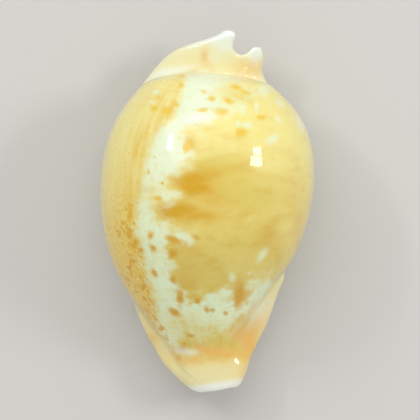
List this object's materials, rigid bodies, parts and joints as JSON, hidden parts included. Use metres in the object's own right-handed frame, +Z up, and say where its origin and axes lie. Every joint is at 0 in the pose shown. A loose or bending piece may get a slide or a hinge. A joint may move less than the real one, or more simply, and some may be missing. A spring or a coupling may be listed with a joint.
{
  "type": "armeniaca cowry shell",
  "caption": "Glossy pear-shaped cowry shell with a high domed back, short prongs round the notch at its spire end, a narrowed beak in front and a toothed slit along its flat base.",
  "frame": {"origin": "middle of the shell's plan, on the plane it rests on", "axes": "+Z up out of the domed back, +Y towards the spire end with the notch, +X to the columellar side, which is the right of the picture"},
  "size_m": [0.0536, 0.0908, 0.0432],
  "materials": {
    "shell": "polished porcelain-like shell, apricot and ochre with a white band and orange specks"
  },
  "bodies": {
    "root": {"shell": "shell"}
  },
  "joints": []
}
